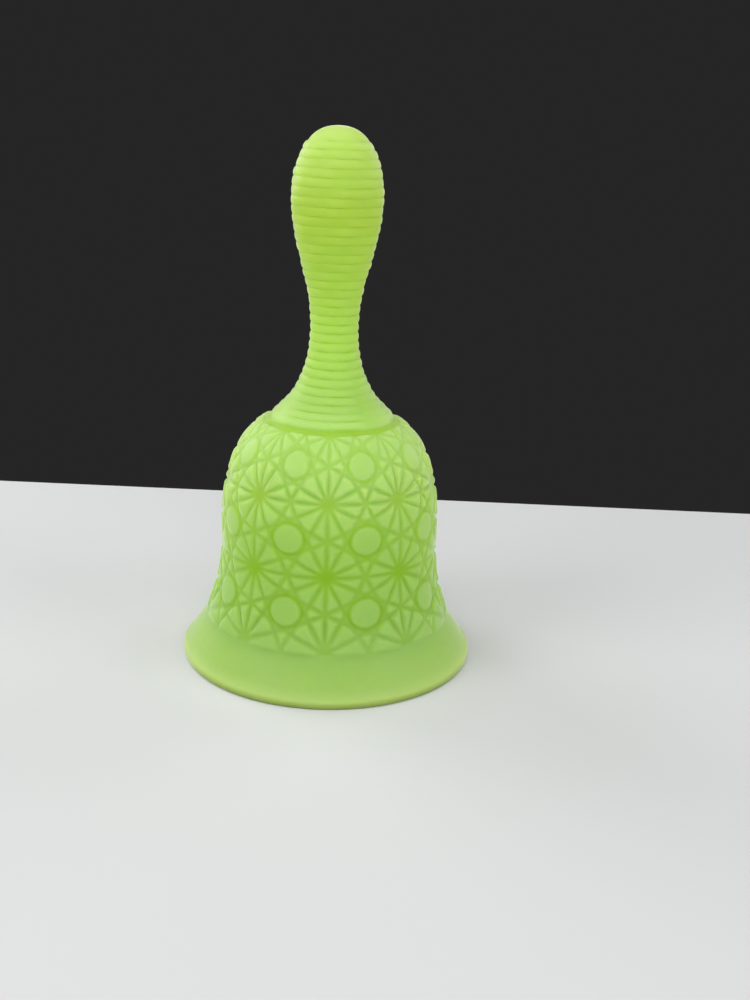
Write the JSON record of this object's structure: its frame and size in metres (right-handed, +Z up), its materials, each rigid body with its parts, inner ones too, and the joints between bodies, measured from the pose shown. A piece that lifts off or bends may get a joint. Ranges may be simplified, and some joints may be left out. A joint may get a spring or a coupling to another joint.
{
  "type": "glass hand bell",
  "caption": "Pressed satin-glass hand bell: ringed baluster handle, domed body with daisy and button relief, flared skirt, and a ball clapper on a chain.",
  "frame": {"origin": "centre of the ring the bell stands on, on the table surface", "axes": "+Z up the handle, along the bell's axis; -Y is the front, which a daisy column faces"},
  "size_m": [0.0852, 0.0852, 0.15],
  "materials": {
    "satin_glass": "satin, acid-etched, translucent lime green",
    "cement": "matt cast cement",
    "stamped_brass": "stamped sheet, lightly tarnished",
    "brass_wire": "bright drawn wire",
    "clapper_brass": "turned and polished"
  },
  "bodies": {
    "bell": {"glass_bell": "satin_glass", "anchor_cement": "cement", "anchor_plate": "stamped_brass", "anchor_eye": "brass_wire"},
    "top_ring": {"top_ring": "brass_wire"},
    "link_1": {"chain_link_1": "brass_wire"},
    "link_2": {"chain_link_2": "brass_wire"},
    "link_3": {"chain_link_3": "brass_wire"},
    "link_4": {"chain_link_4": "brass_wire"},
    "link_5": {"chain_link_5": "brass_wire"},
    "link_6": {"chain_link_6": "brass_wire"},
    "link_7": {"chain_link_7": "brass_wire"},
    "bottom_ring": {"bottom_ring": "brass_wire"},
    "clapper": {"clapper_eye_pin": "brass_wire", "clapper_upper_cap": "stamped_brass", "clapper_ball": "clapper_brass", "clapper_lower_cap": "stamped_brass"}
  },
  "joints": [
    {"name": "top_ring_swing", "type": "hinge", "parent": "bell", "child": "top_ring", "pos_m": [0, 0, 0.0596], "axis": [1, 0, 0], "range_deg": [-28, 28]},
    {"name": "link_1_swing", "type": "hinge", "parent": "top_ring", "child": "link_1", "pos_m": [0, 0, 0.05675], "axis": [0, 1, 0], "range_deg": [-30, 30]},
    {"name": "link_2_swing", "type": "hinge", "parent": "link_1", "child": "link_2", "pos_m": [0, 0, 0.0526], "axis": [-1, 0, 0], "range_deg": [-34, 34]},
    {"name": "link_3_swing", "type": "hinge", "parent": "link_2", "child": "link_3", "pos_m": [0, 0, 0.04845], "axis": [0, -1, 0], "range_deg": [-38, 38]},
    {"name": "link_4_swing", "type": "hinge", "parent": "link_3", "child": "link_4", "pos_m": [0, 0, 0.0443], "axis": [1, 0, 0], "range_deg": [-44, 44]},
    {"name": "link_5_swing", "type": "hinge", "parent": "link_4", "child": "link_5", "pos_m": [0, 0, 0.04015], "axis": [0, 1, 0], "range_deg": [-52, 52]},
    {"name": "link_6_swing", "type": "hinge", "parent": "link_5", "child": "link_6", "pos_m": [0, 0, 0.036], "axis": [-1, 0, 0], "range_deg": [-68, 68]},
    {"name": "link_7_swing", "type": "hinge", "parent": "link_6", "child": "link_7", "pos_m": [0, 0, 0.03185], "axis": [0, -1, 0], "range_deg": [-75, 75]},
    {"name": "bottom_ring_swing", "type": "hinge", "parent": "link_7", "child": "bottom_ring", "pos_m": [0, 0, 0.0277], "axis": [1, 0, 0], "range_deg": [-75, 75]},
    {"name": "clapper_swing", "type": "hinge", "parent": "bottom_ring", "child": "clapper", "pos_m": [0, 0, 0.02475], "axis": [0, 1, 0], "range_deg": [-75, 75]}
  ]
}
